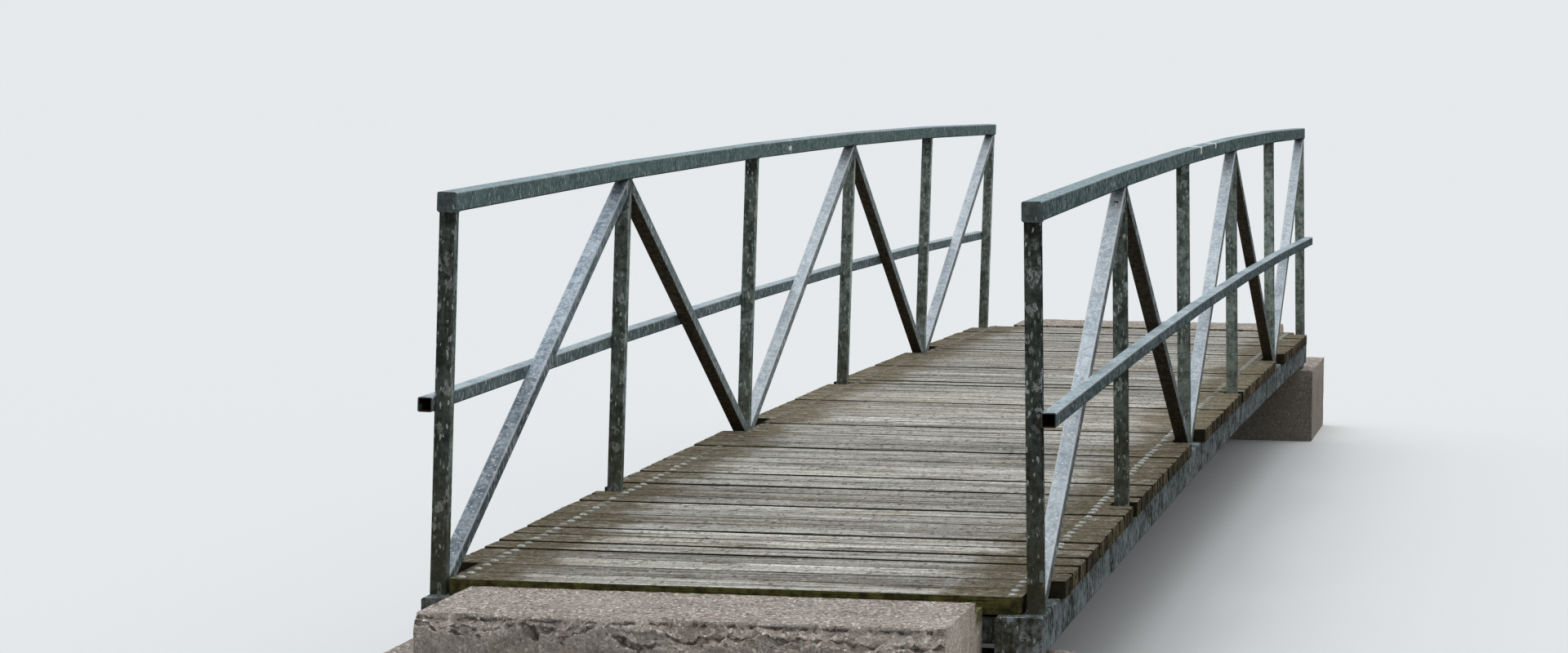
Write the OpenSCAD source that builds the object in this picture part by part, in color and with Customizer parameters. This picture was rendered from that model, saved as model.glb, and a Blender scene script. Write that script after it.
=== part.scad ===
// Footbridge with trussed side frames and a plank deck on two concrete abutments.
// Millimetres. X runs along the bridge, Y across it and Z up.
// The origin is at the middle of the footprint, on the floor that it stands on.

/* [Span] */
// Number of bays between the end posts
bays = 5; // [5:1:5]
// Distance between post centres
bay_length = 2400; // [1800:50:3000]
// Rise of the deck and the handrail at mid-span
camber = 44; // [0:1:120]

/* [Side frames] */
// Distance between the centre planes of the two side frames, at their feet
frame_spacing = 1820; // [1400:10:2400]
// Inward lean of each side frame, in degrees
frame_lean = 1.26; // [0:0.02:2]
// Height of the handrail's top above the deck
rail_height = 1165; // [1000:5:1300]
// Width and depth of the handrail tube
handrail = 60; // [50:1:80]
// Thickness of the plates that close the handrail's ends
cap_plate = 4; // [2:1:8]
// Length of handrail that stands out past the outer posts' centres
handrail_overhang = 30; // [25:1:100]
// Width and depth of a post
post = 50; // [40:1:60]
// Width and depth of a brace
brace = 50; // [40:1:60]
// Width and depth of the mid rail tube
mid_rail = 45; // [30:1:60]
// Height of the mid rail's top above the deck
mid_rail_height = 545; // [400:5:700]
// Length of mid rail that stands out past the outer posts' centres
mid_rail_overhang = 50; // [25:1:100]
// Wall thickness of the frame tubes
tube_wall = 4; // [2:1:5]
// Outer corner radius of the frame tubes
tube_radius = 6; // [5.5:0.5:9]
// Gap between a brace's foot and the girder's top
brace_clearance = 1; // [0.6:0.1:3]

/* [Floor frame] */
// Depth of a girder
girder_depth = 120; // [100:5:200]
// Width of a girder
girder_width = 140; // [100:5:180]
// Wall thickness of a girder
girder_wall = 6; // [4:1:7]
// Outer corner radius of a girder
girder_radius = 8; // [7.5:0.5:16]
// Thickness of the plates that close a girder's ends
end_plate = 6; // [4:1:12]
// Diameter of the drain hole near each end of a girder's underside
drain_hole = 20; // [10:1:30]
// How far a girder's outer face stands out from the side frame's centre plane
girder_face = 30; // [25:1:60]
// Length of girder past the outer posts' centres
girder_overhang = 100; // [60:5:150]
// Width of a cross beam
beam_width = 60; // [40:2:100]
// Depth of a cross beam
beam_depth = 80; // [60:2:100]
// Drop of a cross beam's top below the girder's top
beam_drop = 10; // [2:1:15]
// Length of the bearing plate under a girder's end
bearing_length = 180; // [100:10:240]
// Thickness of the bearing plate at the girder's end
bearing_plate = 20; // [10:1:40]

/* [Deck] */
// Number of planks in an inner bay
planks_per_bay = 12; // [8:1:14]
// Number of planks in an end bay, its overhang included
planks_per_end_bay = 13; // [9:1:15]
// Length of deck past the outer posts' centres
deck_overhang = 50; // [40:1:80]
// Thickness of a plank
plank_thickness = 55; // [40:1:70]
// Gap between two planks
plank_gap = 5; // [2:1:12]
// How far a whole plank stands out past the posts' outer faces
plank_overhang = 25; // [5:1:80]
// Clearance between a plank and the side frame where it is cut
cut_clearance = 10; // [5:1:20]
// Length of the notch before the centre of a post that has no brace foot
notch_before = 90; // [40:1:120]
// Length of that notch past the post's centre
notch_after = 40; // [35:1:60]

/* [Abutments] */
// Height of the shelf that the girders rest on, above the floor
shelf_height = 400; // [250:10:900]
// Width of an abutment
abutment_width = 2000; // [1960:10:2600]
// Length of the shelf in front of the outer posts' centres
shelf_reach = 250; // [200:10:500]
// Distance from the outer posts' centres to the back of an abutment
abutment_back = 850; // [400:10:1200]
// Distance from the outer posts' centres to the sill's raised edge
sill_edge = 200; // [100:1:300]
// Gap between the deck's end and the upstand's face
upstand_gap = 12; // [6:1:40]
// Width of the upstand and its sill
sill_width = 1520; // [1200:10:1580]
// Depth of the mossy rebate between the sill and the first plank
rebate_depth = 30; // [10:1:60]

/* [Hidden] */
span = bays * bay_length;
frame_y = frame_spacing / 2;
deck_level = shelf_height + bearing_plate + girder_depth + plank_thickness;
pivot_level = deck_level - plank_thickness;
girder_y = frame_y + girder_face - girder_width / 2;
upstand_face = deck_overhang + upstand_gap;
plank_length = frame_spacing + post + 2 * plank_overhang;
short_plank = frame_spacing - post - 2 * cut_clearance;
joint_groove = 0.5;
ring_length = 20;
slack = 5;
reach = 400;
$fn = 32;

// X of a post's centre, the middle of the span being 0
function post_x(i) = i * bay_length - span / 2;
// Rise of the arch over its ends at a post
function post_rise(i) = camber * (1 - pow(2 * i / bays - 1, 2));
// Slope of a bay, in degrees
function bay_slope(i) = atan2(post_rise(i + 1) - post_rise(i), bay_length);
// Table of the arch: straight lines from post to post, and on past the outer posts
function arch_end(i, x) = [x, post_rise(i) + (x - post_x(i)) * tan(bay_slope(min(i, bays - 1)))];
arch = concat(
    [arch_end(0, post_x(0) - reach)],
    [for (i = [0 : bays]) [post_x(i), post_rise(i)]],
    [arch_end(bays, post_x(bays) + reach)]);
// Level of the deck's top at a place along the bridge
function deck_z(x) = deck_level + lookup(x, arch);

// Points of a line parallel to the deck between two places, drop being its depth
function deck_line(x0, x1, drop) = concat(
    [[x0, deck_z(x0) - drop]],
    [for (i = [1 : bays - 1]) if (post_x(i) > x0 && post_x(i) < x1) [post_x(i), deck_z(post_x(i)) - drop]],
    [[x1, deck_z(x1) - drop]]);
function reversed(list) = [for (i = [len(list) - 1 : -1 : 0]) list[i]];

// Outline of a band that follows the deck between two depths
function band(x0, x1, top_drop, bottom_drop) = concat(
    deck_line(x0, x1, top_drop),
    reversed(deck_line(x0, x1, bottom_drop)));

// Upright profile in the XZ plane, given its thickness along Y and its centre
module upright(points, thickness, y = 0)
    translate([0, y + thickness / 2, 0])
        rotate([90, 0, 0])
            linear_extrude(thickness)
                polygon(points);

// Rectangle with round corners, centred
module rounded(size, radius) {
    square([size[0] - 2 * radius, size[1]], center = true);
    square([size[0], size[1] - 2 * radius], center = true);
    for (u = [-1, 1], v = [-1, 1])
        translate([u * (size[0] / 2 - radius), v * (size[1] / 2 - radius)])
            circle(radius);
}

// Bar with a round-cornered section along X, from 0 to its length
module bar(length, size, radius)
    rotate([90, 0, 90])
        linear_extrude(length)
            rounded(size, radius);

// One bay of a bar that follows the deck, drop being the depth of its axis
module run_segment(i, x0, x1, drop, size, radius, y) {
    length = (x1 - x0) / cos(bay_slope(i)) + 4 * slack;
    intersection() {
        translate([x0, y, deck_z(x0) - drop])
            rotate([0, -bay_slope(i), 0])
                translate([-2 * slack, 0, 0])
                    bar(length, size, radius);
        translate([x0, y - size[0], 0])
            cube([x1 - x0, 2 * size[0], 2 * deck_level + rail_height]);
    }
}

// Hollow bar that follows the deck from end to end, with a welded joint over each inner post
module run_tube(x0, x1, drop, size, wall, radius, y = 0) {
    for (i = [0 : bays - 1]) {
        xa = i == 0 ? x0 : post_x(i) + joint_groove / 2;
        xb = i == bays - 1 ? x1 : post_x(i + 1) - joint_groove / 2;
        difference() {
            run_segment(i, xa, xb, drop, size, radius, y);
            run_segment(i, xa - slack, xb + slack, drop,
                [size[0] - 2 * wall, size[1] - 2 * wall], radius - wall, y);
        }
    }
    for (i = [1 : bays - 1])
        joint_ring(post_x(i), drop, size, wall, radius, y);
}

// Backing ring inside a tube's joint, sunk halfway into the wall
module joint_ring(x, drop, size, wall, radius, y)
    translate([x - ring_length / 2, y, deck_z(x) - drop])
        difference() {
            bar(ring_length, [size[0] - wall, size[1] - wall], radius - wall / 2);
            translate([-slack, 0, 0])
                bar(ring_length + 2 * slack, [size[0] - 3 * wall, size[1] - 3 * wall],
                    (radius - wall) / 2);
        }

// Puts a side frame's piece, drawn on the centre plane, on the left side with its lean
module framed()
    translate([0, frame_y, pivot_level])
        rotate([frame_lean, 0, 0])
            translate([0, 0, -pivot_level])
                children();

// Everything at and below the girders' top, used to trim the feet of the frame
module below_girder_top(x)
    upright(concat(deck_line(x - reach, x + reach, plank_thickness),
        [[x + reach, 0], [x - reach, 0]]), 2 * reach, frame_y);

// Everything above the handrail's underside, used to trim the heads of the posts
module above_handrail(x)
    upright(band(x - reach, x + reach, -rail_height - reach, handrail - rail_height), 2 * reach);

// Keeps a piece on the left side, or mirrors it to the right one
module on_side(side)
    if (side < 0)
        mirror([0, 1, 0])
            children();
    else
        children();

// Keeps a piece at the far end, or mirrors it to the near one
module at_end(end)
    if (end < 0)
        mirror([1, 0, 0])
            children();
    else
        children();

module girder(side) {
    outer = span / 2 + girder_overhang;
    color("slategray")
        on_side(side)
            difference() {
                union() {
                    run_tube(-outer, outer, plank_thickness + girder_depth / 2,
                        [girder_width, girder_depth], girder_wall, girder_radius, girder_y);
                    for (end = [-1, 1])
                        at_end(end)
                            girder_end(outer);
                }
                for (end = [-1, 1])
                    translate([end * (outer - bearing_length - 2 * drain_hole), girder_y, 0])
                        cylinder(h = deck_level - plank_thickness - girder_depth / 2, d = drain_hole);
            }
}

// Closing plate and bearing plate with a level underside, at the far end of a girder
module girder_end(outer) {
    translate([outer - end_plate, girder_y, deck_z(outer) - plank_thickness - girder_depth / 2])
        bar(end_plate, [girder_width - girder_wall, girder_depth - girder_wall],
            girder_radius - girder_wall / 2);
    upright(concat(
        deck_line(outer - bearing_length, outer, plank_thickness + girder_depth - girder_wall / 2),
        [[outer, shelf_height], [outer - bearing_length, shelf_height]]),
        girder_width - 3 * girder_radius, girder_y);
}

module cross_beam(i) {
    length = 2 * girder_y - girder_width;
    color("slategray")
        translate([post_x(i), -length / 2, deck_z(post_x(i)) - plank_thickness - beam_drop - beam_depth / 2])
            rotate([0, 0, 90])
                difference() {
                    bar(length, [beam_width, beam_depth], tube_radius);
                    translate([-slack, 0, 0])
                        bar(length + 2 * slack, [beam_width - 2 * tube_wall, beam_depth - 2 * tube_wall],
                            tube_radius - tube_wall);
                }
}

module handrail_tube(side)
    color("lightsteelblue")
        on_side(side)
            framed()
                run_tube(-span / 2 - handrail_overhang, span / 2 + handrail_overhang,
                    handrail / 2 - rail_height, [handrail, handrail], tube_wall, tube_radius);

module end_caps(side)
    color("lightsteelblue")
        on_side(side)
            framed()
                for (end = [-1, 1])
                    at_end(end)
                        translate([span / 2 + handrail_overhang, 0,
                            deck_z(span / 2 + handrail_overhang) + rail_height - handrail / 2])
                            bar(cap_plate, [handrail, handrail], tube_radius);

module mid_rail_tube(side)
    color("darkslategray")
        on_side(side)
            framed()
                run_tube(-span / 2 - mid_rail_overhang, span / 2 + mid_rail_overhang,
                    mid_rail / 2 - mid_rail_height, [mid_rail, mid_rail], tube_wall, tube_radius,
                    (post + mid_rail) / 2);

module frame_post(i, side)
    color("darkslategray")
        on_side(side)
            difference() {
                framed()
                    difference() {
                        translate([post_x(i), 0, 0])
                            post_tube();
                        above_handrail(post_x(i));
                    }
                below_girder_top(post_x(i));
            }

// Upright square tube, long enough to be trimmed at both ends
module post_tube() {
    length = rail_height + plank_thickness + camber;
    translate([0, 0, pivot_level - slack])
        rotate([0, -90, 0])
            difference() {
                bar(length, [post, post], tube_radius);
                translate([-slack, 0, 0])
                    bar(length + 2 * slack, [post - 2 * tube_wall, post - 2 * tube_wall],
                        tube_radius - tube_wall);
            }
}

// Brace of one bay: its foot is at an odd post and its head under the handrail at an even one
module frame_brace(i, side) {
    rising = i % 2 == 0;
    foot_x = rising ? post_x(i) + post / 2 : post_x(i + 1) - post / 2;
    head_x = rising ? post_x(i + 1) - post / 2 : post_x(i) + post / 2;
    base_z = deck_z(foot_x) - plank_thickness + brace_clearance;
    head_z = deck_z(head_x) + rail_height - handrail;
    slope = atan((head_z - base_z - 1.1 * brace) / abs(head_x - foot_x));
    depth = brace / cos(slope);
    foot = [foot_x, base_z + depth / 2];
    head = [head_x, head_z - depth / 2];
    color("lightsteelblue")
        on_side(side)
            framed()
                intersection() {
                    difference() {
                        brace_bar(foot, head, brace, tube_radius);
                        brace_bar(foot, head, brace - 2 * tube_wall, tube_radius - tube_wall);
                    }
                    translate([(foot_x + head_x) / 2, 0, (base_z + head_z) / 2])
                        cube([abs(head_x - foot_x), 2 * brace, head_z], center = true);
                }
}

// Bar along the line between two points of the XZ plane, run out past both of them
module brace_bar(foot, head, size, radius) {
    along = head - foot;
    translate([foot[0], 0, foot[1]])
        rotate([0, -atan2(along[1], along[0]), 0])
            translate([-2 * size, 0, 0])
                bar(norm(along) + 4 * size, [size, size], radius);
}

// Where a bay's planks start and end, and how many they are
function deck_start(i) = post_x(i) - (i == 0 ? deck_overhang : 0);
function deck_end(i) = post_x(i + 1) + (i == bays - 1 ? deck_overhang : 0);
function plank_count(i) = i == 0 || i == bays - 1 ? planks_per_end_bay : planks_per_bay;

// Planks of one bay, cut back around the posts and the braces' feet
module deck_bay(i) {
    count = plank_count(i);
    pitch = (deck_end(i) - deck_start(i)) / count;
    color("darkkhaki")
        for (k = [0 : count - 1])
            plank(deck_start(i) + k * pitch + plank_gap / 2,
                deck_start(i) + (k + 1) * pitch - plank_gap / 2,
                is_short(i, k, count), i);
}

// Two planks after a brace's foot, the one before it and the deck's last one are cut short
function is_short(i, k, count) =
    i % 2 == 0 ? k < 2 || (i == bays - 1 && k == count - 1) : k == count - 1;

module plank(x0, x1, short, i)
    difference() {
        upright(band(x0, x1, 0, plank_thickness), short ? short_plank : plank_length);
        for (side = [-1, 1], j = [i, i + 1])
            if (!short && j % 2 == 1)
                translate([post_x(j) + (notch_after - notch_before) / 2, side * plank_length / 2,
                    deck_z(post_x(j))])
                    cube([notch_before + notch_after, plank_length - short_plank, 4 * plank_thickness],
                        center = true);
    }

// Concrete abutment at one end, with the shelf, the upstand, the sill and its rebate
module abutment(end)
    color("rosybrown")
        at_end(end)
            union() {
                upright([[span / 2 - shelf_reach, 0], [span / 2 + abutment_back, 0],
                    [span / 2 + abutment_back, shelf_height],
                    [span / 2 - shelf_reach, shelf_height]], abutment_width);
                upright([[span / 2 + upstand_face, shelf_height - slack],
                    [span / 2 + abutment_back, shelf_height - slack],
                    [span / 2 + abutment_back, deck_level],
                    [span / 2 + sill_edge, deck_level],
                    [span / 2 + sill_edge, deck_level - rebate_depth],
                    [span / 2 + upstand_face, deck_level - rebate_depth]],
                    sill_width);
            }

girder(1);  // girder_left
girder(-1);  // girder_right
cross_beam(0);  // cross_beam_1
cross_beam(1);  // cross_beam_2
cross_beam(2);  // cross_beam_3
cross_beam(3);  // cross_beam_4
cross_beam(4);  // cross_beam_5
cross_beam(5);  // cross_beam_6
handrail_tube(1);  // handrail_left
handrail_tube(-1);  // handrail_right
end_caps(1);  // handrail_end_caps_left
end_caps(-1);  // handrail_end_caps_right
mid_rail_tube(1);  // mid_rail_left
mid_rail_tube(-1);  // mid_rail_right
frame_post(0, 1);  // post_left_1
frame_post(1, 1);  // post_left_2
frame_post(2, 1);  // post_left_3
frame_post(3, 1);  // post_left_4
frame_post(4, 1);  // post_left_5
frame_post(5, 1);  // post_left_6
frame_post(0, -1);  // post_right_1
frame_post(1, -1);  // post_right_2
frame_post(2, -1);  // post_right_3
frame_post(3, -1);  // post_right_4
frame_post(4, -1);  // post_right_5
frame_post(5, -1);  // post_right_6
frame_brace(0, 1);  // brace_left_1
frame_brace(1, 1);  // brace_left_2
frame_brace(2, 1);  // brace_left_3
frame_brace(3, 1);  // brace_left_4
frame_brace(4, 1);  // brace_left_5
frame_brace(0, -1);  // brace_right_1
frame_brace(1, -1);  // brace_right_2
frame_brace(2, -1);  // brace_right_3
frame_brace(3, -1);  // brace_right_4
frame_brace(4, -1);  // brace_right_5
deck_bay(0);  // deck_bay_1
deck_bay(1);  // deck_bay_2
deck_bay(2);  // deck_bay_3
deck_bay(3);  // deck_bay_4
deck_bay(4);  // deck_bay_5
abutment(-1);  // abutment_near
abutment(1);  // abutment_far
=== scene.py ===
import math
import random

import bmesh
import bpy
from mathutils import Matrix, Vector, noise


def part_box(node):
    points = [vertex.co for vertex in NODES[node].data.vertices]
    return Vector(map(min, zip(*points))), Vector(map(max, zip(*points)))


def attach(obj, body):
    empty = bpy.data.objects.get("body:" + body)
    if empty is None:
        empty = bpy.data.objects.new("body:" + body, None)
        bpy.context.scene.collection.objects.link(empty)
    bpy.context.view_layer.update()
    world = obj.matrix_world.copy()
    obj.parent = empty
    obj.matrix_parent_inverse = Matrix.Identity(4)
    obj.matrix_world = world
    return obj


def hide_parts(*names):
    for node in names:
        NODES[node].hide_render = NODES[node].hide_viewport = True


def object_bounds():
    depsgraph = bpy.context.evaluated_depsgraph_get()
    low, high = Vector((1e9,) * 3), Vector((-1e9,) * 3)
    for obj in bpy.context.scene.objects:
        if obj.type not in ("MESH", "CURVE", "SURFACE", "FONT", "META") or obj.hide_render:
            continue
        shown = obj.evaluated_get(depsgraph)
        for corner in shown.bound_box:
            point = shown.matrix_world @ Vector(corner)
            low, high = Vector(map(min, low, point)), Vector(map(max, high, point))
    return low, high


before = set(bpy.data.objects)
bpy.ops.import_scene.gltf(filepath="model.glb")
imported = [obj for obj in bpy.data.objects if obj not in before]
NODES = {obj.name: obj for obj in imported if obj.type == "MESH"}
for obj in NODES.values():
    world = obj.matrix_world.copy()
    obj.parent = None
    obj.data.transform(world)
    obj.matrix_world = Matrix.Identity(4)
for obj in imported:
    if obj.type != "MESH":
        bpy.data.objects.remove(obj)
cad_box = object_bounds()

# The camera: sensor and lens in millimetres, place in metres, angles in radians
SENSOR = 36.0
LENS = 98.81
CAMERA_AT = Vector((-18.5546, -2.4674, 2.2181))
YAW, PITCH, ROLL = 0.1830, -0.0660, -0.0097

# A wide sun, a sky that is brighter overhead and ahead, and a plain pale backdrop
SUN_STRENGTH, SUN_ANGLE = 0.75, math.radians(50)
SUN_FROM = Vector((0.30, 0.05, 1.0))
SKY_COLOUR = (0.97, 1.0, 1.03, 1)
SKY_LOW, SKY_RISE, SKY_AHEAD = 0.25, 0.82, 0.45
BACKDROP = (0.790, 0.820, 0.838, 1)
FLOOR_REACH = 90
FLOOR_SEEN, FLOOR_BOUNCE = (0.79, 0.80, 0.80), (0.14, 0.14, 0.13)

# Sizes of the bridge in metres, as in the CAD
BAYS = 5
BAY = 2.4
SPAN = BAYS * BAY
DECK = 0.595
CAMBER = 0.044
OVERHANG = 0.050
DECK_END = SPAN / 2 + OVERHANG
PLANKS, PLANKS_IN_END_BAY = 12, 13
PLANK_LONG, PLANK_SHORT, PLANK_THICK = 1.920, 1.750, 0.055
NOTCH_BEFORE, NOTCH_AFTER = 0.090, 0.040
REBATE_MIDDLE = 6.125
POST = 0.050
LEAN = math.radians(1.26)

# The rails: their middles across the bridge, and heights above the deck
HANDRAIL_Y, HANDRAIL_MIDDLE = 0.8834, 1.135
MID_RAIL, MID_RAIL_Y, MID_RAIL_TOP = 0.045, 0.9443, 0.545

# Bolt heads: their line, each ring's radius and height, the crown, and how deep they sit
BOLT_Y = 0.838
BOLT_PROFILE = ((0.0140, -0.003), (0.0140, 0.0008), (0.0128, 0.0024), (0.0100, 0.0040),
                (0.0060, 0.0050), (0.0025, 0.0054))
BOLT_TOP = 0.0055
BOLT_SINK = 0.0012

# The drain hole in the first brace on the right, and the way down that brace in X and Z
VENT = (-3.738, -0.887, 1.694)
VENT_DOWN = (-0.908, -0.418)


def make_camera():
    ahead = Vector((math.cos(YAW), math.sin(YAW), 0.0))
    side = Vector((math.sin(YAW), -math.cos(YAW), 0.0))
    look = ahead * math.cos(PITCH) + Vector((0, 0, 1)) * math.sin(PITCH)
    down = look.cross(side)
    right = side * math.cos(ROLL) + down * math.sin(ROLL)
    up = side * math.sin(ROLL) - down * math.cos(ROLL)
    turn = Matrix((right, up, -look)).transposed().to_4x4()
    data = bpy.data.cameras.new("camera")
    data.sensor_fit = "HORIZONTAL"
    data.sensor_width = SENSOR
    data.lens = LENS
    data.clip_end = 200
    camera = bpy.data.objects.new("camera", data)
    camera.matrix_world = Matrix.Translation(CAMERA_AT) @ turn
    bpy.context.scene.collection.objects.link(camera)
    bpy.context.scene.camera = camera


# Materials


def math_node(tree, operation, a, b=0.0):
    """The result of a maths node on two values, each of them a number or a socket."""
    made = tree.nodes.new("ShaderNodeMath")
    made.operation = operation
    for socket, value in zip(made.inputs, (a, b)):
        if isinstance(value, bpy.types.NodeSocket):
            tree.links.new(value, socket)
        else:
            socket.default_value = value
    return made.outputs[0]


def seen_directly(tree):
    """1 for what the camera, a reflection or glass sees, 0 for light that falls on something."""
    path = tree.nodes.new("ShaderNodeLightPath")
    seen = math_node(tree, "MAXIMUM", path.outputs["Is Camera Ray"], path.outputs["Is Glossy Ray"])
    return math_node(tree, "MAXIMUM", seen, path.outputs["Is Transmission Ray"])


class Look:
    """A node material under construction; its methods return output sockets."""

    def __init__(self, name, roughness=0.6, metallic=0.0, specular=0.3):
        self.material = bpy.data.materials.new(name)
        self.material.use_nodes = True
        self.tree = self.material.node_tree
        self.shader = self.tree.nodes["Principled BSDF"]
        self.shader.inputs["Roughness"].default_value = roughness
        self.shader.inputs["Metallic"].default_value = metallic
        self.shader.inputs["Specular IOR Level"].default_value = specular
        self.coordinates = self.node("ShaderNodeTexCoord").outputs["Object"]
        self.geometry = self.node("ShaderNodeNewGeometry")

    def node(self, kind, inputs=None, **settings):
        made = self.tree.nodes.new(kind)
        for key, value in settings.items():
            setattr(made, key, value)
        for key, value in (inputs or {}).items():
            self.put(made.inputs[key], value)
        return made

    def put(self, socket, value):
        if isinstance(value, bpy.types.NodeSocket):
            self.tree.links.new(value, socket)
        else:
            if socket.type == "RGBA" and len(value) == 3:
                value = (*value, 1)
            socket.default_value = value

    def place(self):
        return self.node("ShaderNodeSeparateXYZ", {"Vector": self.coordinates}).outputs

    def facing(self):
        normal = self.geometry.outputs["True Normal"]
        return self.node("ShaderNodeSeparateXYZ", {"Vector": normal}).outputs

    def attribute(self, name):
        return self.node("ShaderNodeAttribute", attribute_name=name).outputs["Fac"]

    def stretched(self, scale, offset=(0, 0, 0)):
        return self.node("ShaderNodeMapping", {"Vector": self.coordinates, "Scale": scale,
                                               "Location": offset}).outputs[0]

    def noise(self, scale, detail=3.0, roughness=0.55, vector=None, distortion=0.0):
        return self.node("ShaderNodeTexNoise",
                         {"Vector": vector or self.coordinates, "Scale": scale, "Detail": detail,
                          "Roughness": roughness, "Distortion": distortion}).outputs["Fac"]

    def cells(self, scale, vector=None):
        """The distance to a cell's middle, and two random numbers of the cell."""
        made = self.node("ShaderNodeTexVoronoi", {"Vector": vector or self.coordinates,
                                                  "Scale": scale})
        split = self.node("ShaderNodeSeparateColor", {"Color": made.outputs["Color"]})
        return made.outputs["Distance"], split.outputs[0], split.outputs[1]

    def math(self, operation, a, b=0.0):
        return math_node(self.tree, operation, a, b)

    def mul(self, first, *rest):
        for value in rest:
            first = self.math("MULTIPLY", first, value)
        return first

    def add(self, first, *rest):
        return self.math("ADD", first, self.add(*rest)) if rest else first

    def sub(self, a, b):
        return self.math("SUBTRACT", a, b)

    def max(self, a, b):
        return self.math("MAXIMUM", a, b)

    def abs(self, a):
        return self.math("ABSOLUTE", a)

    def less(self, a, b):
        return self.math("LESS_THAN", a, b)

    def more(self, a, b):
        return self.math("GREATER_THAN", a, b)

    def ramp(self, value, low, high, to_low=0.0, to_high=1.0, curve="SMOOTHSTEP"):
        """A value between two limits turned into one between two others, with eased ends."""
        return self.node("ShaderNodeMapRange", {"Value": value, "From Min": low, "From Max": high,
                                                "To Min": to_low, "To Max": to_high},
                         interpolation_type=curve, clamp=True).outputs["Result"]

    def line(self, value, low, high, to_low, to_high):
        """The same in a straight line."""
        return self.ramp(value, low, high, to_low, to_high, "LINEAR")

    def mix(self, amount, a, b, blend="MIX"):
        made = self.node("ShaderNodeMix", data_type="RGBA", blend_type=blend)
        for socket, value in ((made.inputs[0], amount), (made.inputs[6], a), (made.inputs[7], b)):
            self.put(socket, value)
        return made.outputs[2]

    def times(self, colour, factor):
        """The colour multiplied by a number."""
        return self.node("ShaderNodeVectorMath", {0: colour, "Scale": factor},
                         operation="SCALE").outputs[0]

    def finish(self, colour, height=None, strength=0.3, distance=0.002, roughness=None):
        self.put(self.shader.inputs["Base Color"], colour)
        if roughness is not None:
            self.put(self.shader.inputs["Roughness"], roughness)
        if height is not None:
            bump = self.node("ShaderNodeBump", {"Height": height, "Strength": strength,
                                                "Distance": distance})
            self.tree.links.new(bump.outputs[0], self.shader.inputs["Normal"])
        return self.material


def srgb(r, g, b):
    """A colour from 0-255 display values."""
    def linear(c):
        c /= 255
        return c / 12.92 if c <= 0.04045 else ((c + 0.055) / 1.055) ** 2.4
    return (linear(r), linear(g), linear(b))


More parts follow.
